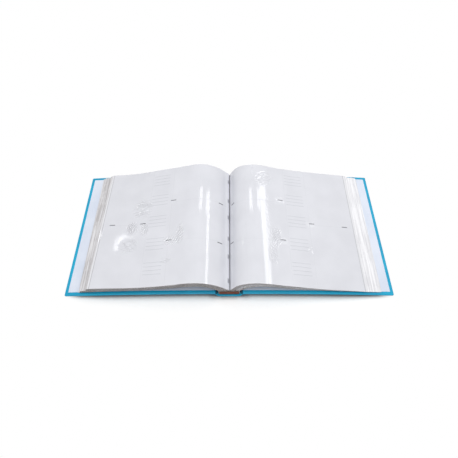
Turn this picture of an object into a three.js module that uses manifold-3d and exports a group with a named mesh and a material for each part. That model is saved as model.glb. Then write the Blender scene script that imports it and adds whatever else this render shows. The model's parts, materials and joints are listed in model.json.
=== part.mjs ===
// A slip-in photo album lying open at its middle, in millimetres.
// X runs across the open album, Y from the tail (near) to the head, Z up from the table.
// The spine rests on the table, the boards rise to it, and the leaves arch over on both sides.
import * as THREE from 'three';
import { mergeVertices } from 'three/addons/utils/BufferGeometryUtils.js';
import Module from 'manifold-3d';

const wasm = await Module();
wasm.setup();

// Case
const caseHeight = 325;
const boardWidth = 328;
const boardThickness = 3;
const boardRise = 12.5;
const boardSteps = 10;
const wrapThickness = 0.6;
const turnIn = 8;
const square = 4;
const pastedownThickness = 0.4;
const fitGap = 0.3;
const cutPast = 1;

// Spine of the case: a flexible strip that hangs in a shallow U
const spineHalfWidth = 29;
const spineFlatHalf = 17;
const spineStripThickness = 1.2;
const spineSquare = 0.4;
const bendSteps = 6;

// Leaves
const pageHeight = caseHeight - 2 * square;
const leafWidth = 322;
const leafPitch = 0.93;
const frontLeafCount = 27;
const backLeafCount = 23;
const pageThickness = 0.7;
const pageGap = 0.6;
const sheafGap = 3.6;
const sheafCount = 2;
const foreEdgeSlant = 0.4;
const reverseFoldSlack = 0.6;
const leafLineSteps = 400;

// Binding
const bindBase = 8.2;
const bindTop = 20;
const glueThickness = 0.8;
const liningThickness = 0.5;
const liningMargin = 2;
const headbandThickness = 1;
const headbandBead = 2.2;
const headbandDrop = 1.5;
const headbandSides = 10;
const gutterGap = 0.4;

// Where the leaves fold as the album closes, as distances along a leaf from the gutter
const frontFolds = [0, 40, 90, 160, leafWidth];
const backFolds = [0, 38, 86, 160, leafWidth];

// Heights above the table of the uppermost leaf, at distances out from the gutter
const frontCrest = [
  [0, bindTop], [9, 35.5], [27, 53], [48, 65], [72, 69.5], [102, 62.5], [137, 50.5], [190, 40], [245, 35.5],
  [304, 34.5]];
const backCrest = [
  [0, bindTop], [5, 37], [15, 54], [35, 64], [60, 66.5], [95, 58], [130, 45], [180, 29.5], [235, 20.5],
  [304, 17]];
// Heights of the lowest leaf over the pastedown, at distances out from the side of the block
const frontFoot = [
  [2.5, 11.9], [13, 21.4], [44, 26.1], [92, 19.3], [150, 3.5], [200, 1.1], [255, 0.9], [310, 1]];
const backFoot = [
  [2, 11.9], [11, 20.4], [38, 24], [84, 17.6], [142, 2.5], [200, 0.9], [255, 0.8], [314, 1.1]];

const colours = {
  cover: 0x34aace, board: 0x9c958a, pastedown: 0xe2e6f2, leaf: 0xdee0e4, edge: 0x96928c,
  glue: 0xcbb890, lining: 0x8a5a3a, headband: 0x6f3e2d, strip: 0x3a3632,
};

const album = new THREE.Group();

function material(name, roughness) {
  return new THREE.MeshStandardMaterial({ color: colours[name], roughness, metalness: 0 });
}

function addMesh(parent, name, geometry, colour, roughness = 0.7) {
  const mesh = new THREE.Mesh(geometry, material(colour, roughness));
  mesh.name = name;
  parent.add(mesh);
  return mesh;
}

// An outline of [x, z] points, extruded along Y from y0 to y1
function slab(outline, y0, y1) {
  const shape = new THREE.Shape(outline.map(([x, z]) => new THREE.Vector2(x, z)));
  const geometry = new THREE.ExtrudeGeometry(shape, { depth: y1 - y0, bevelEnabled: false });
  geometry.rotateX(Math.PI / 2);
  geometry.translate(0, y1, 0);
  return geometry;
}

function toSolid(geometry) {
  const bare = geometry.clone();
  bare.deleteAttribute('normal');
  bare.deleteAttribute('uv');
  const merged = mergeVertices(bare, 1e-4);
  return new wasm.Manifold(new wasm.Mesh({
    numProp: 3,
    vertProperties: new Float32Array(merged.attributes.position.array),
    triVerts: new Uint32Array(merged.index.array),
  }));
}

function toGeometry(solid) {
  const mesh = solid.getMesh();
  const geometry = new THREE.BufferGeometry();
  geometry.setAttribute('position', new THREE.BufferAttribute(new Float32Array(mesh.vertProperties), 3));
  geometry.setIndex(new THREE.BufferAttribute(new Uint32Array(mesh.triVerts), 1));
  return geometry;
}

function joined(geometries) {
  return toGeometry(geometries.map(toSolid).reduce((whole, next) => whole.add(next)));
}

function cut(geometry, ...tools) {
  return toGeometry(tools.map(toSolid).reduce((whole, tool) => whole.subtract(tool), toSolid(geometry)));
}

// Boards

// Height of a board's outer face over the table: it rests on its fore-edge and bows up to the spine.
// The bow is made of straight steps, so that all that follows it lies flat on the same faces.
function boardBase(distance) {
  const bow = (share) => boardRise * (1 - (1 - share) ** 2);
  const steps = THREE.MathUtils.clamp((boardOuter - distance) / boardWidth, 0, 1) * boardSteps;
  const step = Math.min(Math.floor(steps), boardSteps - 1);
  return THREE.MathUtils.lerp(bow(step / boardSteps), bow((step + 1) / boardSteps), steps - step);
}

const boardInner = spineHalfWidth + wrapThickness + fitGap;
const boardOuter = boardInner + boardWidth;
const wrapTop = wrapThickness + fitGap + boardThickness;
const pastedownBase = wrapTop + fitGap;
const pastedownTop = pastedownBase + pastedownThickness;
const caseEnd = caseHeight / 2;

// A band that follows the board's bow, between two distances from the centre and two heights over its
// outer face
function boardBand(side, inner, outer, low, high, y0, y1) {
  const stations = [inner];
  for (let i = 1; i < boardSteps; i++) {
    const station = boardInner + boardWidth * i / boardSteps;
    if (station > inner && station < outer) stations.push(station);
  }
  stations.push(outer);
  const line = (lift) => stations.map((distance) => [side * distance, boardBase(distance) + lift]);
  return slab([...line(low), ...line(high).reverse()], y0, y1);
}

// Each cover's group sits at its hinge line, the top of its joint. userData.closing is its turn in degrees
// to closed.
function addCover(name, side) {
  const cover = new THREE.Group();
  cover.name = `${name}_cover`;
  cover.position.set(side * boardInner, 0, boardRise + pastedownTop);
  cover.userData.closing = 90 + THREE.MathUtils.radToDeg(Math.atan(boardRise / boardWidth));
  album.add(cover);
  const seat = (geometry) => geometry.translate(-cover.position.x, 0, -cover.position.z);
  const clear = wrapThickness + fitGap;
  const lip = wrapTop + fitGap;
  const band = (inner, outer, low, high, y0, y1) => boardBand(side, inner, outer, low, high, y0, y1);
  addMesh(cover, `${name}_board`, seat(band(
    boardInner, boardOuter - clear, clear, wrapTop, -caseEnd + clear, caseEnd - clear)), 'board', 0.9);
  // The covering wraps the board's outer face and three edges, and turns in over its inner face
  const past = boardInner - cutPast;
  const inside = caseEnd - wrapThickness;
  const tray = cut(
    band(boardInner, boardOuter, 0, lip + wrapThickness, -caseEnd, caseEnd),
    band(past, boardOuter - wrapThickness, wrapThickness, lip, -inside, inside),
    band(past, boardOuter - turnIn, wrapTop, lip + cutPast, -caseEnd + turnIn, caseEnd - turnIn));
  addMesh(cover, `${name}_cover_wrap`, seat(tray), 'cover', 0.5);
  const window = caseEnd - turnIn - fitGap;
  addMesh(cover, `${name}_pastedown`, seat(band(
    boardInner, boardOuter - turnIn - fitGap, pastedownBase, pastedownTop, -window, window)),
  'pastedown', 0.6);
}

// Spine of the case

// Outline of a U-shaped sheet, between two offsets up from the table's surface
function hangingSheet(low, high) {
  const bend = (offset) => {
    const points = [];
    const reach = spineHalfWidth - spineFlatHalf;
    for (let i = 0; i <= bendSteps; i++) {
      const turn = Math.PI / 2 * i / bendSteps;
      points.push([
        spineFlatHalf + (reach - offset) * Math.sin(turn),
        offset + (boardRise - offset) * (1 - Math.cos(turn)),
      ]);
    }
    return points;
  };
  const mirrored = (points) => points.map(([x, z]) => [-x, z]).reverse();
  const outer = bend(low);
  const inner = bend(high);
  return [...mirrored(outer), ...outer, ...inner.reverse(), ...mirrored(inner.slice().reverse()).reverse()];
}

const stripBase = wrapThickness + fitGap;
const frontWidth = frontLeafCount * leafPitch;
const backWidth = backLeafCount * leafPitch;
const blockHalf = (frontWidth + backWidth) / 2;
const gutter = frontWidth - blockHalf;
const pageEnd = pageHeight / 2;

function addSpine() {
  const spine = new THREE.Group();
  spine.name = 'spine';
  album.add(spine);
  const box = (x0, x1, z0, z1, half) => slab([[x0, z0], [x1, z0], [x1, z1], [x0, z1]], -half, half);
  addMesh(spine, 'spine_wrap', slab(hangingSheet(0, wrapThickness), -caseEnd, caseEnd), 'cover', 0.5);
  addMesh(spine, 'spine_strip', slab(
    hangingSheet(stripBase, stripBase + spineStripThickness), -caseEnd + spineSquare, caseEnd - spineSquare),
  'strip', 0.9);
  const glueTop = bindBase - fitGap;
  const liningTop = glueTop - glueThickness - fitGap;
  addMesh(spine, 'spine_glue', box(-blockHalf, blockHalf, glueTop - glueThickness, glueTop, pageEnd), 'glue');
  addMesh(spine, 'spine_lining', box(
    -blockHalf + liningMargin, blockHalf - liningMargin, liningTop - liningThickness, liningTop, pageEnd),
  'lining', 0.9);
  const roots = (x0, x1) => box(x0, x1, bindBase, bindTop, pageEnd);
  addMesh(spine, 'front_leaf_roots', roots(-blockHalf, gutter - gutterGap / 2), 'edge');
  addMesh(spine, 'back_leaf_roots', roots(gutter + gutterGap / 2, blockHalf), 'edge');
  for (const [name, end] of [['tail', -1], ['head', 1]]) {
    const near = end * (pageEnd + fitGap);
    const far = near + end * headbandThickness;
    const ys = [near, far].sort((a, b) => a - b);
    const low = liningTop - liningThickness;
    const top = bindTop - headbandDrop - headbandBead / 2;
    const half = blockHalf - liningMargin;
    const plate = slab([[-half, low], [half, low], [half, top], [-half, top]], ...ys);
    const bead = new THREE.CylinderGeometry(headbandBead / 2, headbandBead / 2, 2 * half, headbandSides);
    bead.rotateZ(Math.PI / 2);
    bead.translate(0, near + end * headbandBead / 2, top);
    addMesh(spine, `${name}_headband`, joined([plate, bead]), 'headband', 0.8);
  }
}

// Leaves

// The line of the uppermost or lowest leaf on one side, from the gutter out, as points at even lengths
function leafLine(side, start, profile) {
  const curve = new THREE.SplineCurve(profile.map(([x, z]) => new THREE.Vector2(start + side * x, z)));
  curve.arcLengthDivisions = leafLineSteps;
  const length = curve.getLength();
  return (distance) => curve.getPointAt(Math.min(distance / Math.max(length, leafWidth), 1));
}

// Point on the leaf at a depth from 0, the uppermost, to 1, the lowest
function leafPoint(lines, depth, distance) {
  return lines.top(distance).clone().lerp(lines.bottom(distance), depth);
}

// The place, measured from the side of the block, of a point given by its height over the pastedown
function overPastedown([x, z]) {
  return [x, boardBase(blockHalf + x) + pastedownTop + z];
}

function shifted(from, to, gap) {
  return from.clone().add(to.clone().sub(from).setLength(gap));
}

function steepness(lines, folds, k, depth, side) {
  const chord = leafPoint(lines, depth, folds[k]).sub(leafPoint(lines, depth, folds[k - 1]));
  return THREE.MathUtils.radToDeg(Math.atan2(chord.y, side * chord.x));
}

// How far each fold turns, in degrees, when the leaves stand up straight: below 0 where they bend the other
// way
function foldTurns(lines, folds, depth, side) {
  const angles = [90];
  for (let k = 1; k < folds.length; k++) angles.push(steepness(lines, folds, k, depth, side));
  return folds.map((_, k) => (k < folds.length - 1 ? angles[k] - angles[k + 1] : 0));
}

// Outline of one stretch of a sheaf between folds k - 1 and k: a flat-sided slab between two leaf depths.
// Its ends are square to the leaves, so its lower side is shorter, and it is no thicker than the sheaf's
// roots.
function stretchOutline(lines, sheaf, k, high, low) {
  const half = fitGap / 2;
  const thickest = (low - high) * sheaf.width - fitGap;
  const upper = [k - 1, k].map((i) => leafPoint(lines, high, sheaf.folds[i]));
  const lower = [k - 1, k].map((i) => {
    const turned = sheaf.turns.slice(0, i).reduce((sum, turn) => sum + turn, 0) + sheaf.turns[i] / 2;
    const share = i === sheaf.folds.length - 1 ? foreEdgeSlant : 1;
    const short = (low - high) * sheaf.width * THREE.MathUtils.degToRad(turned) * share;
    return leafPoint(lines, low, Math.max(sheaf.folds[i] - short, 0));
  });
  const along = upper[1].clone().sub(upper[0]).normalize();
  const thickness = (corner, i) => Math.abs(corner.clone().sub(upper[i]).cross(along));
  lower.forEach((corner, i) => {
    const share = Math.min(1, thickest / thickness(corner, i));
    corner.lerpVectors(upper[i], corner.clone(), share);
  });
  // A fold that bends the other way closes on its lower side, so it stands open there
  const wedge = lower.map((corner, i) => {
    const back = Math.max(0, -THREE.MathUtils.degToRad(sheaf.turns[k - 1 + i]));
    return half + thickness(corner, i) * Math.tan(back) * reverseFoldSlack;
  });
  return [
    shifted(upper[0], upper[1], half), shifted(upper[1], upper[0], half),
    shifted(lower[1], lower[0], wedge[1]), shifted(lower[0], lower[1], wedge[0])];
}

// A chain of stretches that hangs from the binding. Each one's group sits at the fold on its upper side,
// which stays closed as the leaves straighten, and userData.closing is its turn in degrees on the stretch
// before it.
function addSheaf(name, sheaf, lines, stack) {
  let parent = album;
  let parentPlace = new THREE.Vector2();
  for (let k = 1; k < sheaf.folds.length; k++) {
    const place = leafPoint(lines, sheaf.high, sheaf.folds[k - 1]);
    const group = new THREE.Group();
    group.name = `${name}_${k}`;
    group.position.set(place.x - parentPlace.x, 0, place.y - parentPlace.y);
    group.userData.closing = sheaf.turns[k - 1];
    parent.add(group);
    for (const layer of stack) {
      const outline = stretchOutline(lines, sheaf, k, layer.high, layer.low)
        .map((p) => [p.x - place.x, p.y - place.y]);
      addMesh(group, `${layer.name}_${k}`, slab(outline, -pageEnd, pageEnd), layer.colour);
    }
    parent = group;
    parentPlace = place;
  }
}

function addHalf(name, side, profile, foot, folds, width) {
  addCover(name, side);
  const lines = {
    top: leafLine(side, gutter + side * gutterGap / 2, profile),
    bottom: leafLine(side, side * blockHalf, [[0, bindTop], ...foot.map(overPastedown)]),
  };
  const step = (millimetres) => millimetres / width;
  for (let j = 1; j <= sheafCount; j++) {
    const high = (j - 1) / sheafCount + (j > 1 ? step(sheafGap / 2) : 0);
    const low = j / sheafCount - (j < sheafCount ? step(sheafGap / 2) : 0);
    const sheaf = { high, width, folds, turns: foldTurns(lines, folds, high, side) };
    const stack = [{ name: `${name}_leaves_${j}`, high, low, colour: 'edge' }];
    if (j === 1) {
      stack[0].high = high + step(pageThickness + pageGap);
      stack.unshift({ name: `${name}_page`, high, low: step(pageThickness), colour: 'leaf' });
    }
    addSheaf(`${name}_sheaf_${j}`, sheaf, lines, stack);
  }
}

addSpine();
addHalf('front', -1, frontCrest, frontFoot, frontFolds, frontWidth);
addHalf('back', 1, backCrest, backFoot, backFolds, backWidth);

export default album;
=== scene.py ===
"""A slip-in photo album lying open at its middle, dressed around its CAD frame.

Helpers work in millimetres; meshes are made in metres, in the frame of the CAD model:
X across the open album, Y from the tail (near) to the head, Z up from the table.
"""
import json
import math
import random

import bmesh
import bpy
import numpy as np
from mathutils import Matrix, Vector

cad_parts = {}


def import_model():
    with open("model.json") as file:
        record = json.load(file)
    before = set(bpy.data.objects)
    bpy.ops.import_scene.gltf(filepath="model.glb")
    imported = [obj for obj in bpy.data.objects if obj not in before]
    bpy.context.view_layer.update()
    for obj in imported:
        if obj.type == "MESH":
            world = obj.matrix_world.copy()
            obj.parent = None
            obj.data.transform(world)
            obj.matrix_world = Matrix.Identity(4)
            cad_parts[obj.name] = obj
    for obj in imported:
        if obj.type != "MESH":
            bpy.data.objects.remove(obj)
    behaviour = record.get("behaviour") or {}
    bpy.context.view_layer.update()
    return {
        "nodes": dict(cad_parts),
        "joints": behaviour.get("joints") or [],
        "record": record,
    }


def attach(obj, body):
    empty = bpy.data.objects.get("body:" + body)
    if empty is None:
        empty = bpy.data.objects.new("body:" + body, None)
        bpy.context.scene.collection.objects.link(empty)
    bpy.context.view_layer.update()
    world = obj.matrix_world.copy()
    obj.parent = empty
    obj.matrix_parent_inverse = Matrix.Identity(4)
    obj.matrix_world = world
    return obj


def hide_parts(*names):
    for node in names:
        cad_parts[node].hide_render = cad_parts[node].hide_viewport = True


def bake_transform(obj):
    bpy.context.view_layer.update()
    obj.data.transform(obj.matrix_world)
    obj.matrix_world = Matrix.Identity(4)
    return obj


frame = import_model()
random.seed(7)

MM = 0.001
# Millimetres in a unit of the pages' map
MAP_UNIT = 100.0
SIDES = {"front": -1, "back": 1}
QUARTER = math.pi / 2

# Case
CASE_END = 162.5
BOARD_INNER, BOARD_WIDTH, BOARD_RISE = 29.9, 328.0, 12.5
BOARD_OUTER = BOARD_INNER + BOARD_WIDTH
TURN_IN = 8.0
CLOTH = 0.6
WRAP_TOP = 4.8
CORNER_RADIUS = 2.2
EDGE_ROUNDING = 1.1
SPINE_HALF, SPINE_FLAT = 29.0, 17.0

# Book block
PAGE_END = 158.5
LEAF_WIDTH = 322.0
LEAF_COUNT = {"front": 27, "back": 23}
LEAF_THICKNESS = 0.38
PAGE_THICKNESS = 0.6
BIND_TOP = 20.0
SHEAVES = 2

# Edges steeper than this stay crisp
CRISP_DEGREES = 50


def mesh_object(name, points, faces):
    """A mesh from points in millimetres, with its faces turned outward."""
    mesh = bpy.data.meshes.new(name)
    mesh.from_pydata([Vector(p) * MM for p in points], [], faces)
    shell = bmesh.new()
    shell.from_mesh(mesh)
    bmesh.ops.recalc_face_normals(shell, faces=shell.faces)
    shell.to_mesh(mesh)
    shell.free()
    mesh.polygons.foreach_set("use_smooth", [True] * len(mesh.polygons))
    mesh.set_sharp_from_angle(angle=math.radians(CRISP_DEGREES))
    obj = bpy.data.objects.new(name, mesh)
    bpy.context.scene.collection.objects.link(obj)
    return obj


def lerp(a, b, t):
    return a + (b - a) * t


def smooth_step(t):
    t = min(max(t, 0.0), 1.0)
    return t * t * (3 - 2 * t)


# Materials


class Surface:
    """A node material, with short calls for the nodes that its pattern needs."""

    def __init__(self, name, **sockets):
        self.material = bpy.data.materials.new(name)
        self.material.use_nodes = True
        self.tree = self.material.node_tree
        self.shader = self.tree.nodes["Principled BSDF"]
        for key, value in sockets.items():
            self.shader.inputs[key.replace("_", " ")].default_value = value

    def node(self, kind, **settings):
        made = self.tree.nodes.new(kind)
        for key, value in settings.items():
            setattr(made, key, value)
        return made

    def feed(self, socket, value):
        if isinstance(value, bpy.types.NodeSocket):
            self.tree.links.new(value, socket)
        else:
            socket.default_value = value

    def math(self, operation, *values):
        made = self.node("ShaderNodeMath", operation=operation)
        for socket, value in zip(made.inputs, values):
            self.feed(socket, value)
        return made.outputs[0]

    def ramp(self, value, low, high, to_low=0.0, to_high=1.0):
        """Value from low to high becomes to_low to to_high, smoothly."""
        made = self.node("ShaderNodeMapRange", interpolation_type="SMOOTHSTEP")
        for socket, number in zip(made.inputs, (value, low, high, to_low, to_high)):
            self.feed(socket, number)
        return made.outputs[0]

    def coordinates(self, kind="Object", scale=(1, 1, 1)):
        source = self.node("ShaderNodeTexCoord").outputs[kind]
        mapping = self.node("ShaderNodeMapping")
        self.feed(mapping.inputs["Vector"], source)
        mapping.inputs["Scale"].default_value = scale
        return mapping.outputs[0]

    def split(self, vector):
        """The vector's three numbers."""
        made = self.node("ShaderNodeSeparateXYZ")
        self.feed(made.inputs[0], vector)
        return made.outputs

    def noise(self, vector, scale, detail=3.0, roughness=0.5, distortion=0.0):
        made = self.node("ShaderNodeTexNoise")
        self.feed(made.inputs["Vector"], vector)
        made.inputs["Scale"].default_value = scale
        made.inputs["Detail"].default_value = detail
        made.inputs["Roughness"].default_value = roughness
        made.inputs["Distortion"].default_value = distortion
        return made.outputs["Fac"]

    def pebbles(self, vector, scale):
        made = self.node("ShaderNodeTexVoronoi", feature="SMOOTH_F1")
        self.feed(made.inputs["Vector"], vector)
        made.inputs["Scale"].default_value = scale
        return made.outputs["Distance"]

    def band(self, value, centre, half, soft):
        """1 within half of the centre, falling to 0 over soft."""
        away = self.math("ABSOLUTE", self.math("SUBTRACT", value, centre))
        return self.ramp(away, half, half + soft, 1.0, 0.0)

    def both(self, *masks):
        total = masks[0]
        for mask in masks[1:]:
            total = self.math("MULTIPLY", total, mask)
        return total

    def most(self, *masks):
        total = masks[0]
        for mask in masks[1:]:
            total = self.math("MAXIMUM", total, mask)
        return total

    def mix(self, share, a, b):
        made = self.node("ShaderNodeMix", data_type="RGBA")
        self.feed(made.inputs["Factor"], share)
        self.feed(made.inputs["A"], a)
        self.feed(made.inputs["B"], b)
        return made.outputs["Result"]

    def tint(self, base, mask, share, colour):
        """The base colour, with this share of another one where the mask is 1."""
        return self.mix(self.math("MULTIPLY", mask, share), base, colour)

    def colour(self, value):
        self.feed(self.shader.inputs["Base Color"], value)

    def rough(self, value):
        self.feed(self.shader.inputs["Roughness"], value)

    def bump(self, height, millimetres, strength=1.0, under=None):
        made = self.node("ShaderNodeBump")
        made.inputs["Strength"].default_value = strength
        made.inputs["Distance"].default_value = millimetres * MM
        self.feed(made.inputs["Height"], height)
        if under is not None:
            self.feed(made.inputs["Normal"], under)
        return made.outputs["Normal"]

    def normal(self, value):
        self.feed(self.shader.inputs["Normal"], value)


def linear(r, g, b):
    """A colour given in sRGB, 0 to 255."""
    shares = (c / 255 for c in (r, g, b))
    return tuple(
        ((c + 0.055) / 1.055) ** 2.4 if c > 0.04045 else c / 12.92 for c in shares) + (1.0,)


def covering():
    """Turquoise book covering: a fine leathery grain, satin, with fine pale flecks of painted
    highlight on the grain.
    """
    s = Surface("covering", Specular_IOR_Level=0.32)
    place = s.coordinates()
    cloud = s.noise(place, 14, 4)
    fine = s.noise(place, 900, 2)
    grain = s.pebbles(place, 750)
    tone = s.mix(s.ramp(cloud, 0.3, 0.7), linear(14, 150, 190), linear(24, 168, 206))
    # Painted highlight: fine pale flecks over the grain
    s.colour(s.tint(tone, s.ramp(fine, 0.45, 0.75), 0.35, linear(52, 184, 214)))
    s.rough(s.ramp(cloud, 0.3, 0.7, 0.42, 0.54))
    s.normal(s.bump(grain, 0.12, 0.5, s.bump(fine, 0.06, 0.4)))
    return s.material


def endpaper():
    """Pale lavender paper pasted on the board."""
    s = Surface("endpaper", Specular_IOR_Level=0.3)
    fibre = s.noise(s.coordinates(scale=(1, 5, 1)), 420, 3)
    cloud = s.noise(s.coordinates(), 9, 3)
    tone = s.mix(s.ramp(cloud, 0.35, 0.65), linear(212, 220, 235), linear(223, 229, 241))
    s.colour(s.tint(tone, s.ramp(fibre, 0.5, 0.8), 0.25, linear(198, 207, 222)))
    s.rough(s.ramp(fibre, 0.3, 0.7, 0.5, 0.62))
    s.normal(s.bump(fibre, 0.04, 0.5, s.bump(cloud, 0.6, 0.3)))
    return s.material


def leaf_edges():
    """Tail and head ends of the leaves, card and film seen as a stack: warm grey, streaked along
    each leaf, and darker than the card itself as painted shade between and under the leaves."""
    s = Surface("leaf_edges", Specular_IOR_Level=0.25)
    streak = s.noise(s.coordinates(scale=(0.2, 0.2, 1)), 900, 3)
    cloud = s.noise(s.coordinates(), 40, 4)
    # Painted shade: both tones are darker than the leaves' white card, for the shade between and
    # under the stacked leaves
    tone = s.mix(s.ramp(streak, 0.3, 0.7), linear(104, 98, 94), linear(168, 162, 158))
    s.colour(s.tint(tone, s.ramp(cloud, 0.4, 0.7), 0.4, linear(122, 112, 106)))
    s.rough(s.ramp(cloud, 0.3, 0.7, 0.6, 0.75))
    s.normal(s.bump(streak, 0.08, 0.5))
    return s.material


def root_edges():
    """End of the bound block, where the leaves stand upright, so the streaks run up and down."""
    s = Surface("root_edges", Specular_IOR_Level=0.25)
    streak = s.noise(s.coordinates(scale=(1, 0.05, 0.05)), 1000, 3)
    cloud = s.noise(s.coordinates(), 60, 3)
    tone = s.mix(s.ramp(streak, 0.35, 0.65), linear(96, 92, 90), linear(184, 182, 182))
    s.colour(s.tint(tone, s.ramp(cloud, 0.4, 0.7), 0.4, linear(128, 118, 112)))
    s.rough(s.ramp(cloud, 0.3, 0.7, 0.6, 0.8))
    s.normal(s.bump(streak, 0.15, 0.6))
    return s.material


def leaf_faces(name, dark, light):
    """Faces and fore-edges of the leaves inside the stack: card under clear film, streaked along
    the fore-edge. The front side is given darker tones as painted shade, the back side lighter ones
    as painted light."""
    s = Surface(name, Specular_IOR_Level=0.5)
    cloud = s.noise(s.coordinates(), 30, 4)
    streak = s.noise(s.coordinates(scale=(1, 0.03, 1)), 420, 3)
    tone = s.mix(s.ramp(streak, 0.35, 0.65), linear(*dark), linear(*light))
    s.colour(s.tint(tone, s.ramp(cloud, 0.4, 0.7), 0.3, linear(232, 232, 234)))
    s.rough(s.ramp(cloud, 0.3, 0.7, 0.2, 0.35))
    s.normal(s.bump(streak, 0.3, 0.5))
    return s.material


# A page's layout. Places are distances from the gutter, and along Y from the page's middle.
# Three landscape pockets lie between the gutter and the first weld, and two portrait ones
# outside the second. Between the welds is the strip of the memo lines.
POCKET = 2 * PAGE_END / 3
INNER_WELD, OUTER_WELD, SEAM = 155, 210, 317.5
# Memo lines: four to a group, at this pitch, with the groups this far apart
MEMO_PITCH, MEMO_GROUP, MEMO_MIDDLE = 9.3, 60, 5
MEMO_SPAN = {"front": (166, 206), "back": (158, 200)}
# Short dark tack marks on the welds, and along Y the places of the punched slots beside the gutter,
# whose dark marks are painted shade in the slots
TACKS = {
    "front": [(32, 52), (34, -55), (151, 58), (154, -50), (221, 1), (295, 2)],
    "back": [(18, 57), (14, -48), (142, 60), (141, -49), (215, 3), (296, 1)],
}
GUTTER_MARKS = {"front": [131, 72, 24, -34, -80, -138], "back": []}
GUTTER_MARK_PLACE = 7.5

# Wrinkles of the film: where from the gutter and along Y, how far each way, spacing, lean, height
WRINKLES = {
    "front": [
        (226, 44, 30, 34, 8.5, 0.25, 0.75),
        (248, -56, 24, 22, 9, -0.2, 0.70),
        (246, -10, 16, 22, 14, 2.6, 0.70),
        (216, -14, 13, 24, 10, 2.0, 0.60),
        (150, -52, 22, 18, 9, 1.4, 0.40),
        (129, -36, 12, 34, 9, 1.0, 0.65),
        (158, -99, 16, 9, 10, 0.4, 0.60),
        (60, 40, 9, 60, 20, 0.6, 0.05)],
    "back": [
        (104, 118, 28, 26, 7.5, -0.5, 0.36),
        (126, -42, 14, 30, 8.5, -1.3, 0.45),
        (116, -86, 14, 34, 7, 0.8, 0.40),
        (110, -20, 12, 130, 11, 0.7, 0.07),
        (230, 20, 26, 20, 10, -0.5, 0.05),
        (206, -68, 7, 12, 16, 0.5, 0.20)],
}


def ripples(s, out, y, place, out0, y0, half_out, half_y, spacing, lean, height):
    """Wrinkles in one oval patch, as heights in millimetres that die away towards its rim."""
    dx = s.math("DIVIDE", s.math("SUBTRACT", out, out0), half_out)
    dy = s.math("DIVIDE", s.math("SUBTRACT", y, y0), half_y)
    away = s.math("ADD", s.math("MULTIPLY", dx, dx), s.math("MULTIPLY", dy, dy))
    mask = s.ramp(away, 0.15, 1.0, height, 0.0)
    bend = s.math("MULTIPLY", s.noise(place, 5, 2), spacing * 2.4)
    along = s.math("ADD", s.math("ADD", y, s.math("MULTIPLY", out, lean)), bend)
    wave = s.math("SINE", s.math("MULTIPLY", along, 2 * math.pi / spacing))
    return s.math("MULTIPLY", wave, mask)


def memo_lines(s, out, y, place, half):
    """1 on the memo lines, which waver a little."""
    wavy = s.math("ADD", y, s.math("MULTIPLY", s.noise(place, 12, 1), 2.0))
    # The ten groups added keep the number positive, as MODULO needs
    shifted = s.math("ADD", wavy, 10 * MEMO_GROUP + MEMO_GROUP / 2 - MEMO_MIDDLE)
    within = s.math("MODULO", shifted, MEMO_GROUP)
    first_line = MEMO_GROUP / 2 - 1.5 * MEMO_PITCH
    lines = s.math("PINGPONG", s.math("SUBTRACT", within, first_line), MEMO_PITCH / 2)
    low, high = MEMO_SPAN[half]
    return s.both(
        s.ramp(lines, 0.0, 0.75, 1.0, 0.0),
        s.band(within, MEMO_GROUP / 2, MEMO_GROUP / 4, 1.0),
        s.band(out, (low + high) / 2, (high - low) / 2, 2.0))


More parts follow.
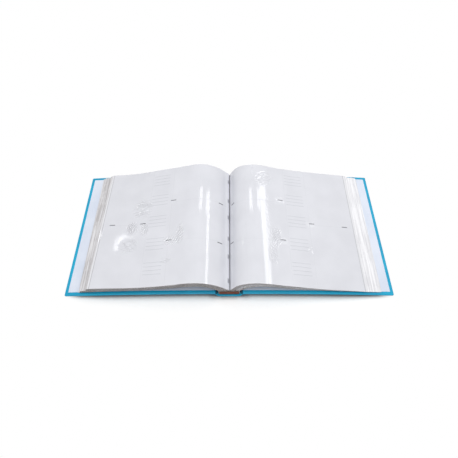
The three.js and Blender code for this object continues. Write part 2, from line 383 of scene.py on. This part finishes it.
def film_page(name, half):
    """An open page: white card in glossy clear pockets, with weld lines, tacks and memo lines,
    painted shade towards the gutter and a painted highlight on the film margin past the seam.
    The map's first number is the distance from the gutter and its second is Y, in decimetres."""
    s = Surface(name, Specular_IOR_Level=0.5)
    place = s.coordinates("UV")
    across, along, _ = s.split(place)
    out = s.math("MULTIPLY", across, MAP_UNIT)
    y = s.math("MULTIPLY", along, MAP_UNIT)

    def line(value, centre):
        return s.band(value, centre, 0.2, 0.5)

    def at_tacks(half_out, soft_out, half_y, soft_y):
        return s.most(*[
            s.both(s.band(out, x0, half_out, soft_out), s.band(y, y0, half_y, soft_y))
            for x0, y0 in TACKS[half]])

    inner = s.ramp(out, INNER_WELD - 3, INNER_WELD - 2, 1.0, 0.0)
    outer = s.both(
        s.ramp(out, OUTER_WELD - 2, OUTER_WELD - 1), s.ramp(out, SEAM - 1, SEAM, 1.0, 0.0))
    welds = s.most(
        line(out, INNER_WELD), line(out, OUTER_WELD),
        s.both(inner, s.most(line(y, POCKET / 2), line(y, -POCKET / 2))),
        s.both(outer, line(y, 0)))
    seam = s.band(out, SEAM, 0.5, 0.6)
    tacks = at_tacks(6.0, 1.2, 0.7, 0.7)
    memo = memo_lines(s, out, y, place, half)
    # Painted shade: the page darkens into the deep gutter, and the punched slots beside it are dark
    # patches of painted shade
    gutter = s.ramp(out, 0.0, 3.0, 0.35, 0.0)
    if GUTTER_MARKS[half]:
        marks = s.most(*[
            s.both(s.band(out, GUTTER_MARK_PLACE, 0.8, 3.6), s.band(y, y0, 3.0, 4.5))
            for y0 in GUTTER_MARKS[half]])
        gutter = s.most(gutter, s.math("MULTIPLY", marks, 0.62))

    cloud = s.ramp(s.noise(place, 1.6, 3), 0.3, 0.7)
    paper = s.mix(cloud, linear(214, 215, 221), linear(219, 220, 226))
    paper = s.tint(paper, memo, 0.42, linear(128, 132, 142))
    paper = s.tint(paper, welds, 0.10, linear(160, 163, 172))
    paper = s.tint(paper, seam, 0.55, linear(150, 150, 154))
    # Painted highlight: past the seam the clear film margin is painted paler, for its crinkled
    # bright edge
    paper = s.tint(paper, s.ramp(out, SEAM, SEAM + 1.2), 0.5, linear(232, 232, 234))
    paper = s.tint(paper, tacks, 0.85, linear(70, 72, 80))
    s.colour(s.mix(gutter, paper, linear(104, 106, 116)))
    s.rough(s.ramp(s.noise(place, 5, 3), 0.35, 0.65, 0.045, 0.07))

    # The film lies in long shallow waves, with wrinkles here and there and puckers round the tacks
    waves = s.noise(s.coordinates("UV", scale=(1, 0.5, 1)), 1.6, 1, 0.4)
    pucker = s.both(s.noise(place, 14, 3, 0.6, 1.6), at_tacks(2, 16, 1, 13))
    height = s.math("ADD", s.math("MULTIPLY", waves, 0.15), s.math("MULTIPLY", pucker, 0.45))
    for patch in WRINKLES[half]:
        height = s.math("ADD", height, ripples(s, out, y, place, *patch))
    dips = s.most(welds, tacks, seam)
    height = s.math("SUBTRACT", height, s.math("MULTIPLY", dips, 0.12))
    s.normal(s.bump(height, 1.0))
    return s.material


def headband_weave():
    """A woven strip: red-brown threads side by side."""
    s = Surface("headband_weave", Specular_IOR_Level=0.2, Roughness=0.85)
    place = s.coordinates()
    wave = s.node("ShaderNodeTexWave", wave_type="BANDS", bands_direction="X")
    s.feed(wave.inputs["Vector"], place)
    wave.inputs["Scale"].default_value = 420
    wave.inputs["Distortion"].default_value = 1.5
    threads = wave.outputs["Fac"]
    tone = s.mix(threads, linear(88, 48, 36), linear(142, 84, 64))
    s.colour(s.tint(tone, s.noise(place, 200, 3), 0.4, linear(150, 112, 104)))
    s.normal(s.bump(threads, 0.25, 0.8))
    return s.material


def plain_board(name, dark, light, scale):
    """Card, lining paper or dried glue: fibres in two tones."""
    s = Surface(name, Specular_IOR_Level=0.25)
    fibre = s.noise(s.coordinates(scale=(1, 3, 1)), scale, 5, 0.65)
    s.colour(s.mix(s.ramp(fibre, 0.3, 0.7), linear(*dark), linear(*light)))
    s.rough(s.ramp(fibre, 0.3, 0.7, 0.65, 0.85))
    s.normal(s.bump(fibre, 0.2, 0.5))
    return s.material


COVERING = covering()
ENDPAPER = endpaper()
SHADED_LEAF_EDGES = leaf_edges()
ROOT_EDGES = root_edges()
# One material in two tones: the front leaves darker as painted shade, the back ones lighter as
# painted light
LIT_AND_SHADED_LEAF_FACES = {
    "front": leaf_faces("front_leaf_faces", (184, 181, 182), (224, 223, 226)),
    "back": leaf_faces("back_leaf_faces", (214, 214, 218), (244, 244, 247)),
}
PAGES = {half: film_page(f"{half}_film", half) for half in SIDES}
HEADBAND = headband_weave()
CARD = plain_board("grey_card", (118, 112, 106), (160, 154, 146), 300)
# Painted shade: the spine card is near black, for the shade inside the hollow back
SHADED_SPINE_CARD = plain_board("spine_card", (44, 41, 40), (72, 67, 64), 300)
GLUE = plain_board("dried_glue", (176, 158, 118), (214, 198, 160), 60)
LINING = plain_board("lining_paper", (112, 68, 44), (146, 96, 66), 400)

# CAD nodes that stay, in materials of their own
for node, surface in {
    "front_board": CARD, "back_board": CARD, "spine_strip": SHADED_SPINE_CARD, "spine_glue": GLUE,
    "spine_lining": LINING, "front_leaf_roots": ROOT_EDGES, "back_leaf_roots": ROOT_EDGES,
    "tail_headband": HEADBAND, "head_headband": HEADBAND,
}.items():
    data = frame["nodes"][node].data
    data.materials.clear()
    data.materials.append(surface)


def finish_piece(obj, surface):
    obj.data.materials.append(surface)


# Case


def board_base(distance):
    """Height of the board's outer face: it rests on its fore-edge and bows up to the spine."""
    share = min(max((BOARD_OUTER - distance) / BOARD_WIDTH, 0), 1)
    return BOARD_RISE * (1 - (1 - share) ** 2)


def edge_path(inset, side):
    """Points round three sides of a board, this far in from its edges, tail first."""
    radius = max(CORNER_RADIUS - inset, 0.05)
    outer, end = BOARD_OUTER - inset, CASE_END - inset
    points = [(x, -end) for x in np.linspace(BOARD_INNER, outer - radius, 30)]
    for turn in np.linspace(0, QUARTER, 6)[1:]:
        points.append((
            outer - radius + radius * math.sin(turn), -end + radius - radius * math.cos(turn)))
    points += [(outer, y) for y in np.linspace(-end + radius, 0, 7)[1:]]
    points += [(x, -y) for x, y in reversed(points[:-1])]
    return [(side * x, y) for x, y in points]


def covering_piece(name, side):
    """The sheet over a board's outer face, turned in over three edges. Its section is a list of
    rings: how far in from the board's edges, and how high over the outer face."""
    under, top, rounding = WRAP_TOP - CLOTH, WRAP_TOP, EDGE_ROUNDING
    rings = [
        (CLOTH, CLOTH), (CLOTH, under), (TURN_IN, under), (TURN_IN, top - 0.08),
        (TURN_IN - 0.12, top), (3.5, top + 0.05)]
    turns = np.linspace(0, QUARTER, 5)
    for turn in turns:
        rings.append((
            rounding - rounding * math.sin(turn), top - rounding + rounding * math.cos(turn)))
    for turn in turns:
        rings.append((rounding - rounding * math.cos(turn), rounding - rounding * math.sin(turn)))
    points, faces = [], []
    for inset, lift in rings:
        points += [(x, y, board_base(abs(x)) + lift) for x, y in edge_path(inset, side)]
    count = len(points) // len(rings)
    for r in range(len(rings) - 1):
        for i in range(count - 1):
            a = r * count + i
            faces.append((a, a + 1, a + count + 1, a + count))
    # The inner and the outer face, in strips from tail to head
    last = (len(rings) - 1) * count
    for base in (0, last):
        for i in range(count // 2):
            j = count - 1 - i
            middle = (base + i + 1,) if i + 1 == j - 1 else (base + i + 1, base + j - 1)
            faces.append((base + i, *middle, base + j))
    # The section at the spine
    tail_side = [r * count for r in range(len(rings))]
    head_side = [a + count - 1 for a in reversed(tail_side)]
    faces.append(tail_side + head_side)
    piece = mesh_object(f"{name}_covering", points, faces)
    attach(piece, f"{name}_cover")
    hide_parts(f"{name}_cover_wrap")
    finish_piece(piece, COVERING)


def endpaper_piece(name, side):
    """A sheet over the board's inner face, whose edges lie on the turn-in."""
    lap, slope, thickness, steps = 0.6, 1.6, 0.35, 44
    over_turn_in, on_board = WRAP_TOP + 0.32, 4.62
    inset = TURN_IN - lap
    xs = np.linspace(BOARD_INNER + 0.2, BOARD_OUTER - inset, steps)
    ys = np.linspace(-CASE_END + inset, CASE_END - inset, steps)
    points = []
    for lower in (0, thickness):
        for x in xs:
            for y in ys:
                near = min(BOARD_OUTER - TURN_IN - x, CASE_END - TURN_IN - abs(y))
                lift = lerp(over_turn_in, on_board, smooth_step((near + lap) / slope))
                points.append((side * x, y, board_base(x) + lift - lower))
    n, m = len(xs), len(ys)
    faces = []
    for i in range(n - 1):
        for j in range(m - 1):
            a = i * m + j
            faces.append((a, a + 1, a + m + 1, a + m))
            faces.append(tuple(n * m + v for v in (a, a + m, a + m + 1, a + 1)))
    rim = [i * m for i in range(n)] + [(n - 1) * m + j for j in range(1, m)]
    rim += [i * m + m - 1 for i in range(n - 2, -1, -1)] + [j for j in range(m - 2, 0, -1)]
    for a, b in zip(rim, rim[1:] + rim[:1]):
        faces.append((a, b, n * m + b, n * m + a))
    piece = mesh_object(f"{name}_endpaper", points, faces)
    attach(piece, f"{name}_cover")
    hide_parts(f"{name}_pastedown")
    finish_piece(piece, ENDPAPER)


def hang(offset, turn, side):
    """A point of the hanging spine: offset in from its outer face, turn from its flat to its
    upright end."""
    return (
        side * (SPINE_FLAT + (SPINE_HALF - SPINE_FLAT - offset) * math.sin(turn)),
        offset + (BOARD_RISE - offset) * (1 - math.cos(turn)))


def spine_covering():
    """The sheet round the spine strip, turned in at tail and head. Its section along Y is a loop
    of places and offsets in from the outer face."""
    end, inner = CASE_END + 0.35, 2.35
    top = inner + 0.5
    corner = top / 2
    half_loop = [
        (end - TURN_IN, inner), (end - TURN_IN, top - 0.08), (end - TURN_IN + 0.1, top)]
    for turn in np.linspace(0, math.pi, 9):
        half_loop.append((end - corner + corner * math.sin(turn), corner + corner * math.cos(turn)))
    inside = [(end - CLOTH, inner), (end - CLOTH, CLOTH)]
    loop = half_loop + [(-y, o) for y, o in reversed(half_loop)]
    loop += [(-y, o) for y, o in inside] + [(y, o) for y, o in reversed(inside)]
    stations = [(-1, turn) for turn in np.linspace(QUARTER, 0, 13)]
    stations += [(1, turn) for turn in np.linspace(0, QUARTER, 13)]
    points, faces = [], []
    for side, turn in stations:
        for y, offset in loop:
            x, z = hang(offset, turn, side)
            points.append((x, y, z))
    count = len(loop)
    for k in range(len(stations) - 1):
        for i in range(count):
            a, b = k * count + i, k * count + (i + 1) % count
            faces.append((a, b, b + count, a + count))
    faces.append(list(range(count)))
    faces.append([(len(stations) - 1) * count + i for i in range(count)])
    piece = mesh_object("spine_covering", points, faces)
    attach(piece, "spine")
    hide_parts("spine_wrap")
    finish_piece(piece, COVERING)


# The joint cloth's upper face, from the spine's upright end to the board's outer face
JOINT_LINE = [
    (28.75, 8.0), (29.25, 9.6), (29.45, 10.8), (29.9, 11.7), (30.9, 12.15), (32.6, 12.15),
    (36.5, 12.0)]
JOINT_THICKNESS = 0.45


def joint_cloth(name, side):
    """The covering's flexible joint between the spine and a board."""
    line = JOINT_LINE
    end = CASE_END - 0.2
    path = [Vector((x, z)) for x, z in line]
    points, faces = [], []
    for lower in (0, JOINT_THICKNESS):
        for i, p in enumerate(path):
            along = (path[min(i + 1, len(path) - 1)] - path[max(i - 1, 0)]).normalized()
            out = Vector((along.y, -along.x))
            q = p + out * lower
            points += [(side * q.x, y, q.y) for y in (-end, end)]
    n = len(path)
    for i in range(n - 1):
        a = 2 * i
        faces.append((a, a + 1, a + 3, a + 2))
        faces.append((2 * n + a, 2 * n + a + 2, 2 * n + a + 3, 2 * n + a + 1))
        faces.append((a, a + 2, 2 * n + a + 2, 2 * n + a))
        faces.append((a + 1, 2 * n + a + 1, 2 * n + a + 3, a + 3))
    for a in (0, 2 * n - 2):
        faces.append((a, a + 1, 2 * n + a + 1, 2 * n + a))
    piece = mesh_object(f"{name}_joint_cloth", points, faces)
    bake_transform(piece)
    finish_piece(piece, COVERING)


# Leaves


# Two points of an outline nearer than this are one corner
SAME_CORNER = 0.02


def corners(node):
    """The four corners of a flat stretch's outline, as (x, z) in millimetres."""
    found = []
    for v in frame["nodes"][node].data.vertices:
        p = Vector((v.co.x / MM, v.co.z / MM))
        if all((p - q).length > SAME_CORNER for q in found):
            found.append(p)
    return found


def stretch_sides(node, pivot):
    """The outline's ends on its upper and lower side, each from the gutter out."""
    rest = sorted(corners(node), key=lambda p: (p - pivot).length)
    inner_top = rest.pop(0)
    rest.sort(key=lambda p: (p - inner_top).length)
    inner_low = rest.pop(0)
    down = (inner_low - inner_top).normalized()
    rest.sort(key=lambda p: (p - inner_top).dot(down))
    return (inner_top, rest[0]), (inner_low, rest[1])


def chain(name, sheaf):
    """A sheaf's stretches, with their bodies and nodes, and each fold's place on the upper and on
    the lower side, from the roots to the fore-edge."""
    prefix = f"{name}_sheaf_{sheaf}_"
    joints = sorted(
        (j for j in frame["joints"] if j["child"].startswith(prefix)), key=lambda j: j["child"])
    bodies = frame["record"]["behaviour"]["bodies"]
    tops, lows = [], []
    for k, joint in enumerate(joints):
        pivot = Vector((joint["pos_m"][0] / MM, joint["pos_m"][2] / MM))
        nodes = bodies[joint["child"]]
        upper = stretch_sides(nodes[0], pivot)[0]
        lower = stretch_sides(nodes[-1], pivot if len(nodes) == 1 else upper[0])[1]
        if k == 0:
            lows.append(lower[0])
        else:
            lows[-1] = (lows[-1] + lower[0]) / 2
        tops.append(pivot)
        lows.append(lower[1])
    tops.append(upper[1])
    return {
        "bodies": [j["child"] for j in joints], "nodes": [bodies[j["child"]] for j in joints],
        "tops": tops, "lows": lows}


STEPS = 12
# Where the last fold's bending ends, as a step of its curve
LAST_STEP = 8
# Shares of the way to the first stretch's middle: how far a leaf rises straight up, and how far
# it runs in
ROOT_UP, ROOT_IN = 0.45, 0.30
# How far the uppermost leaf of each side sags on its last stretch, and lies low at its last fold
SAG = {-1: 3.6, 1: 0.3}
DROP = {-1: 1.8, 1: 2.0}
# How far it settles at one end of its fore-edge, from what distance on, and over what distance
SETTLE = {-1: (14, 170, 130), 1: (3.2, 150, 80)}
# The first and the last leaf's share of the way through their sheaf
FIRST_SHARE, LAST_SHARE = 0.04, 0.97
# How the leaves differ in length along Y, in place along Y and in width
END_SPREAD, SHIFT_SPREAD, WIDTH_SPREAD = (-0.5, 0.35), (-0.3, 0.3), (-1.2, 0.6)
# How far the lowest leaf's ends draw back, as a share of their distance from the middle, and
# over what distance from the gutter that comes about
TRIM, TRIM_RUN = 0.014, 60
# Steps of a page's and of a leaf's mesh along Y
PAGE_STEPS, LEAF_STEPS = 60, 8
# Over what distance a page's relief grows at the gutter, and dies away at the fore-edge
RELIEF_START, RELIEF_END = 25, 12


def bezier(points, t):
    """The point at t of the curve with these control points."""
    while len(points) > 1:
        points = [a.lerp(b, t) for a, b in zip(points, points[1:])]
    return points[0]


def leaf_curve(folds, share, depth):
    """A leaf's centreline as pieces of points, one piece round each fold: each is tangent to the
    flat stretches of the frame at their middles, and rounds the fold between them. Share is the
    leaf's place in its sheaf, and depth its place in the whole side, from 0 at the top to 1."""
    v = [top.lerp(low, share) for top, low in zip(folds["tops"], folds["lows"])]
    side = 1 if v[-1].x > 0 else -1
    # The last fold bends the other way: it lies lower, or the closed leaf would reach into the
    # other half
    v[-2] = v[-2] - Vector((0, DROP[side] * (1 - depth)))
    middle = [(a + b) / 2 for a, b in zip(v, v[1:])]
    v[0] = Vector((v[0].x, BIND_TOP))
    reach = middle[0] - v[0]
    rise = Vector((0, lerp(ROOT_UP, ROOT_UP / 2, depth) * reach.length))
    controls = [[v[0], v[0] + rise, middle[0] - reach * ROOT_IN, middle[0]]]
    controls += [[middle[k - 1], v[k], middle[k]] for k in range(1, len(v) - 1)]
    pieces = [[bezier(c, i / STEPS) for i in range(STEPS + 1)] for c in controls]
    # The last stretch runs on to the fore-edge, sagging where the leaves lie free
    along = (v[-1] - middle[-1]).normalized()
    whole = pieces[-1] + [middle[-1].lerp(v[-1], i / STEPS) for i in range(1, STEPS + 1)]
    down = Vector((along.y, -along.x)) * side
    length = (whole[-1] - whole[0]).length
    sag = SAG[side] * (1 - depth)
    pieces[-1] = [
        p + down * (sag * math.sin(math.pi * min((p - whole[0]).length / length, 1)) ** 2)
        for p in whole]
    return pieces


def curve_length(pieces):
    """Length of a leaf's centreline."""
    return sum((b - a).length for piece in pieces for a, b in zip(piece, piece[1:]))


def settle(side, out, y):
    """How far the uppermost leaf lies from its centreline: the front leaves lie lower towards the
    head, and the back ones towards the tail."""
    depth, start, width = SETTLE[side]
    return -depth * smooth_step((out - start) / width) * (PAGE_END - side * y) / (2 * PAGE_END)


def leaf_solid(points, faces, uvs, curve, distances, y0, y1, thickness, y_steps, lift, trim):
    """Adds one leaf's closed solid round a stretch of its centreline. Away from the gutter its
    ends draw back by the trim, as a share of their distance from the middle."""
    base = len(points)
    ys = np.linspace(y0, y1, y_steps + 1)
    n, m = len(curve), y_steps + 1
    for sign in (1, -1):
        for i, p in enumerate(curve):
            along = (curve[min(i + 1, n - 1)] - curve[max(i - 1, 0)]).normalized()
            up = Vector((-along.y, along.x))
            up = up if up.y >= 0 else -up
            for y in ys * (1 - trim * smooth_step(distances[i] / TRIM_RUN)):
                q = p + up * (sign * thickness / 2 + lift(distances[i], y))
                points.append((q.x, y, q.y))
                uvs.append((distances[i] / MAP_UNIT, y / MAP_UNIT))

    def top(i, j):
        return base + i * m + j

    def low(i, j):
        return base + n * m + i * m + j

    # Faces with their material: 0 on the faces, fore-edge and inner end, 1 at tail and head
    for i in range(n - 1):
        for j in range(m - 1):
            faces.append(((top(i, j), top(i, j + 1), top(i + 1, j + 1), top(i + 1, j)), 0))
            faces.append(((low(i, j), low(i + 1, j), low(i + 1, j + 1), low(i, j + 1)), 0))
        for j in (0, m - 1):
            faces.append(((top(i, j), top(i + 1, j), low(i + 1, j), low(i, j)), 1))
    for i in (0, n - 1):
        for j in range(m - 1):
            faces.append(((top(i, j), top(i, j + 1), low(i, j + 1), low(i, j)), 0))


def leaf_object(name, points, faces, uvs, face_material):
    """The leaves of one stretch as an object, with their map of distance and Y in decimetres."""
    obj = mesh_object(name, points, [f for f, _ in faces])
    mesh = obj.data
    mesh.materials.append(face_material)
    mesh.materials.append(SHADED_LEAF_EDGES)
    mesh.polygons.foreach_set("material_index", [m for _, m in faces])
    layer = mesh.uv_layers.new(name="leaf")
    for loop in mesh.loops:
        layer.data[loop.index].uv = uvs[loop.vertex_index]
    return obj


def page_relief():
    """Low relief of an open page, as crossing waves that die away at the gutter and fore-edge."""
    waves = [
        (random.uniform(66, 154), random.uniform(0, 6.28), random.uniform(-1, 1),
         random.uniform(0.01, 0.03))
        for _ in range(5)]

    def relief(out, y):
        total = 0.0
        for length, phase, lean, height in waves:
            total += height * math.sin((y + lean * out) / length * 2 * math.pi + phase)
        at_fore_edge = smooth_step((LEAF_WIDTH - out) / RELIEF_END)
        return total * smooth_step(out / RELIEF_START) * at_fore_edge

    return relief


def fold_span(k, planes):
    """Where the bending of stretch k starts and ends, from the ends of its leaves' bent parts."""
    starts, stops = zip(*planes)
    if k == 0:
        return starts[0], Vector((starts[0].x, min(p.y for p in stops)))
    along = (sum(stops, Vector((0, 0))) - sum(starts, Vector((0, 0)))).normalized()
    near = max(p.dot(along) for p in starts)
    far = min(p.dot(along) for p in stops)
    start = starts[0] + along * (near - starts[0].dot(along))
    return start, start + along * (far - near)


def add_leaves(name, side):
    """All leaves of one side: each sheaf has one object for each stretch, and the uppermost leaf
    has objects of its own."""
    count = LEAF_COUNT[name]
    relief = page_relief()
    spare = LEAF_WIDTH - curve_length(leaf_curve(chain(name, 1), 0, 0))
    for sheaf in range(1, SHEAVES + 1):
        folds = chain(name, sheaf)
        stretches = len(folds["bodies"])
        first, last = (0, count // 2 - 1) if sheaf == 1 else (count // 2, count - 1)
        parts = {}
        planes = [[] for _ in range(stretches)]
        for i in range(first, last + 1):
            depth = (i + 0.5) / count
            is_page = i == 0
            share = lerp(FIRST_SHARE, LAST_SHARE, (i - first) / (last - first))
            pieces = leaf_curve(folds, share, depth)
            end = PAGE_END + (0 if is_page else random.uniform(*END_SPREAD))
            shift = 0 if is_page else random.uniform(*SHIFT_SPREAD)
            extra = spare + (0 if is_page else random.uniform(*WIDTH_SPREAD))
            before_tip, tip = pieces[-1][-2:]
            pieces[-1].append(tip + (tip - before_tip).normalized() * extra)

            def lift(out, y, depth=depth, is_page=is_page):
                return settle(side, out, y) * (1 - depth) + (relief(out, y) if is_page else 0)

            thickness = PAGE_THICKNESS if is_page else LEAF_THICKNESS
            y_steps = PAGE_STEPS if is_page else LEAF_STEPS
            gone = 0.0
            for k, piece in enumerate(pieces):
                distances = [gone]
                for a, b in zip(piece, piece[1:]):
                    distances.append(distances[-1] + (b - a).length)
                gone = distances[-1]
                bent = piece if k < stretches - 1 else piece[:LAST_STEP + 1]
                planes[k].append((bent[0], bent[-1]))
                points, faces, uvs = parts.setdefault((k, is_page), ([], [], []))
                leaf_solid(
                    points, faces, uvs, piece, distances, -end + shift, end + shift,
                    thickness, y_steps, lift, TRIM * depth)
        for (k, is_page), (points, faces, uvs) in sorted(parts.items()):
            if is_page:
                label, surface = f"{name}_open_page_{k + 1}", PAGES[name]
            else:
                label, surface = f"{name}_leaf_stack_{sheaf}_{k + 1}", LIT_AND_SHADED_LEAF_FACES[name]
            obj = leaf_object(label, points, faces, uvs, surface)
            nodes = folds["nodes"][k]
            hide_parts(nodes[0] if is_page else nodes[-1])
            start, end = fold_span(k, planes[k])
            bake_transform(obj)


spine_covering()
for name, side in SIDES.items():
    covering_piece(name, side)
    endpaper_piece(name, side)
    joint_cloth(name, side)
    add_leaves(name, side)


# Stage, light and camera, in metres

WHITE = (1, 1, 1, 1)
WORLD_LIGHT = 0.55
FLOOR_SIZE, FLOOR_LEVEL = 8, -0.0002
# What the floor gives off where it is seen, and how near the album it is darkened with painted
# shadow
FLOOR_GLOW = 0.10
CONTACT_SHADOW_REACH = 0.02
# How far from the middle the album's shadow is kept, along Y
SHADE_END = 0.162
# What the lamps are turned to
ALBUM_MIDDLE = (0, 0, 0.05)


def seen_rays(tree):
    """1 for rays that the camera, a glossy face or a clear one sends, and 0 for light."""
    path = tree.nodes.new("ShaderNodeLightPath")
    total = path.outputs["Is Camera Ray"]
    for kind in ("Is Glossy Ray", "Is Transmission Ray"):
        either = tree.nodes.new("ShaderNodeMath")
        either.operation = "MAXIMUM"
        tree.links.new(total, either.inputs[0])
        tree.links.new(path.outputs[kind], either.inputs[1])
        total = either.outputs[0]
    return total


def stage():
    """The floor, plain white where it is seen, apart from the album's soft shadow on it, which is
    partly the lit floor's own and partly painted shadow near the album.
    """
    bpy.ops.mesh.primitive_plane_add(size=FLOOR_SIZE, location=(0, 0, FLOOR_LEVEL))
    floor = bpy.context.object
    floor.name = "floor"
    s = Surface("floor_white", Roughness=0.9, Specular_IOR_Level=0.1)
    seen = seen_rays(s.tree)
    x, y, _ = s.split(s.coordinates())
    # Painted shadow: where the album is near, ambient occlusion darkens the floor's colour and dims
    # its glow
    near = s.node("ShaderNodeAmbientOcclusion", samples=8)
    near.inputs["Distance"].default_value = CONTACT_SHADOW_REACH
    painted_contact_shadow = s.ramp(near.outputs["AO"], 0.5, 0.95, 1.0, 0.0)
    grain = s.ramp(s.noise(s.coordinates(), 3, 2), 0.3, 0.7)
    paper = s.mix(grain, (0.96, 0.96, 0.96, 1), (0.97, 0.97, 0.97, 1))
    s.colour(s.mix(seen, (0.8, 0.8, 0.8, 1), s.tint(paper, painted_contact_shadow, 0.85, (0.1, 0.1, 0.1, 1))))
    s.shader.inputs["Emission Color"].default_value = WHITE
    glow = s.math("SUBTRACT", FLOOR_GLOW, s.math("MULTIPLY", painted_contact_shadow, FLOOR_GLOW))
    s.feed(s.shader.inputs["Emission Strength"], s.both(glow, seen))
    # The shadow is kept in front of the album and under it, less far in front near its two ends
    ahead = s.math("SUBTRACT", -SHADE_END, y)
    ends = s.math("ABSOLUTE", x)
    drawn_in = s.ramp(ends, 0.2, 0.36, 0.0, 0.02)
    shade = s.both(
        s.ramp(s.math("ADD", ahead, drawn_in), 0.01, 0.05, 1.0, 0.0),
        s.ramp(ends, 0.32, 0.36, 1.0, 0.0),
        s.ramp(y, 0.10, SHADE_END, 1.0, 0.0))
    white = s.node("ShaderNodeEmission")
    mix = s.node("ShaderNodeMixShader")
    s.feed(mix.inputs["Fac"], s.both(s.math("SUBTRACT", 1.0, shade), seen))
    s.feed(mix.inputs[1], s.shader.outputs[0])
    s.feed(mix.inputs[2], white.outputs[0])
    s.feed(s.tree.nodes["Material Output"].inputs["Surface"], mix.outputs[0])
    floor.data.materials.append(s.material)


def world():
    """Even light from all round, and a white background where it is seen."""
    studio = bpy.data.worlds.new("studio")
    bpy.context.scene.world = studio
    studio.use_nodes = True
    tree = studio.node_tree
    mix = tree.nodes.new("ShaderNodeMixShader")
    light, background = tree.nodes["Background"], tree.nodes.new("ShaderNodeBackground")
    for shader, strength, socket in (
            (light, WORLD_LIGHT, mix.inputs[1]), (background, 1.0, mix.inputs[2])):
        shader.inputs["Color"].default_value = WHITE
        shader.inputs["Strength"].default_value = strength
        tree.links.new(shader.outputs[0], socket)
    tree.links.new(seen_rays(tree), mix.inputs["Fac"])
    tree.links.new(mix.outputs[0], tree.nodes["World Output"].inputs["Surface"])


def lamp(name, place, target, width, height, power):
    light = bpy.data.lights.new(name, "AREA")
    light.shape = "RECTANGLE"
    light.size, light.size_y, light.energy = width, height, power
    obj = bpy.data.objects.new(name, light)
    obj.location = place
    obj.rotation_euler = (Vector(target) - Vector(place)).to_track_quat("-Z", "Y").to_euler()
    bpy.context.scene.collection.objects.link(obj)
    return obj


def pane(name, start, stop, width, level):
    """A lamp like a window pane that runs between two places: its reflection is this bright."""
    start, stop = Vector(start), Vector(stop)
    middle, height = (start + stop) / 2, (stop - start).length
    obj = lamp(name, middle, ALBUM_MIDDLE, width, height, level * math.pi * width * height)
    up = (stop - start).normalized()
    ahead = Vector(ALBUM_MIDDLE) - middle
    ahead = (ahead - up * ahead.dot(up)).normalized()
    obj.rotation_euler = Matrix((ahead.cross(up), up, -ahead)).transposed().to_euler()


# The photograph's view, fitted to the corners of its case: place in metres, angles in degrees
CAMERA_PLACE = (0.0015, -0.4438, 0.7514)
PITCH, YAW, ROLL = 58.94, -0.18, -0.30
LENS, SENSOR = 28.43, 36


def camera():
    data = bpy.data.cameras.new("camera")
    data.sensor_width = SENSOR
    data.lens = LENS
    obj = bpy.data.objects.new("camera", data)
    obj.location = CAMERA_PLACE
    pitch, yaw, roll = math.radians(PITCH), math.radians(YAW), math.radians(ROLL)
    level = Vector((math.sin(yaw), math.cos(yaw), 0))
    ahead = level * math.cos(pitch) + Vector((0, 0, -math.sin(pitch)))
    right = Vector((math.cos(yaw), -math.sin(yaw), 0))
    up = right.cross(ahead)
    tilted_right = right * math.cos(roll) + up * math.sin(roll)
    tilted_up = up * math.cos(roll) - right * math.sin(roll)
    obj.rotation_euler = Matrix((tilted_right, tilted_up, -ahead)).transposed().to_euler()
    bpy.context.scene.collection.objects.link(obj)
    bpy.context.scene.camera = obj


bpy.context.scene.view_settings.view_transform = "Standard"
stage()
world()
# Two broad soft lamps that the film doesn't mirror to the camera
lamp("key", (-0.1, -0.15, 1.7), (0, 0, 0), 1.3, 0.7, 12.5)
lamp("fill", (0.0, -1.5, 0.9), (0, 0, 0.02), 1.2, 0.5, 2.2)
# A tall pane behind on the right, two wide ones at the back and two slim ones on the left, whose
# reflections run down the pages
pane("side_pane", (0.745, 0.30, 1.075), (0.615, 0.93, 0.96), 0.25, 5.0)
pane("far_pane_a", (-0.15, 0.80, 1.09), (0.07, 0.80, 1.09), 0.13, 4.5)
pane("far_pane_b", (0.36, 0.78, 1.00), (0.50, 0.78, 1.00), 0.13, 4.5)
pane("left_pane_a", (-0.84, 0.62, 0.84), (-0.84, 0.57, 0.851), 0.02, 7.0)
pane("left_pane_b", (-0.70, 0.57, 0.85), (-0.70, 0.49, 0.869), 0.015, 7.0)
camera()
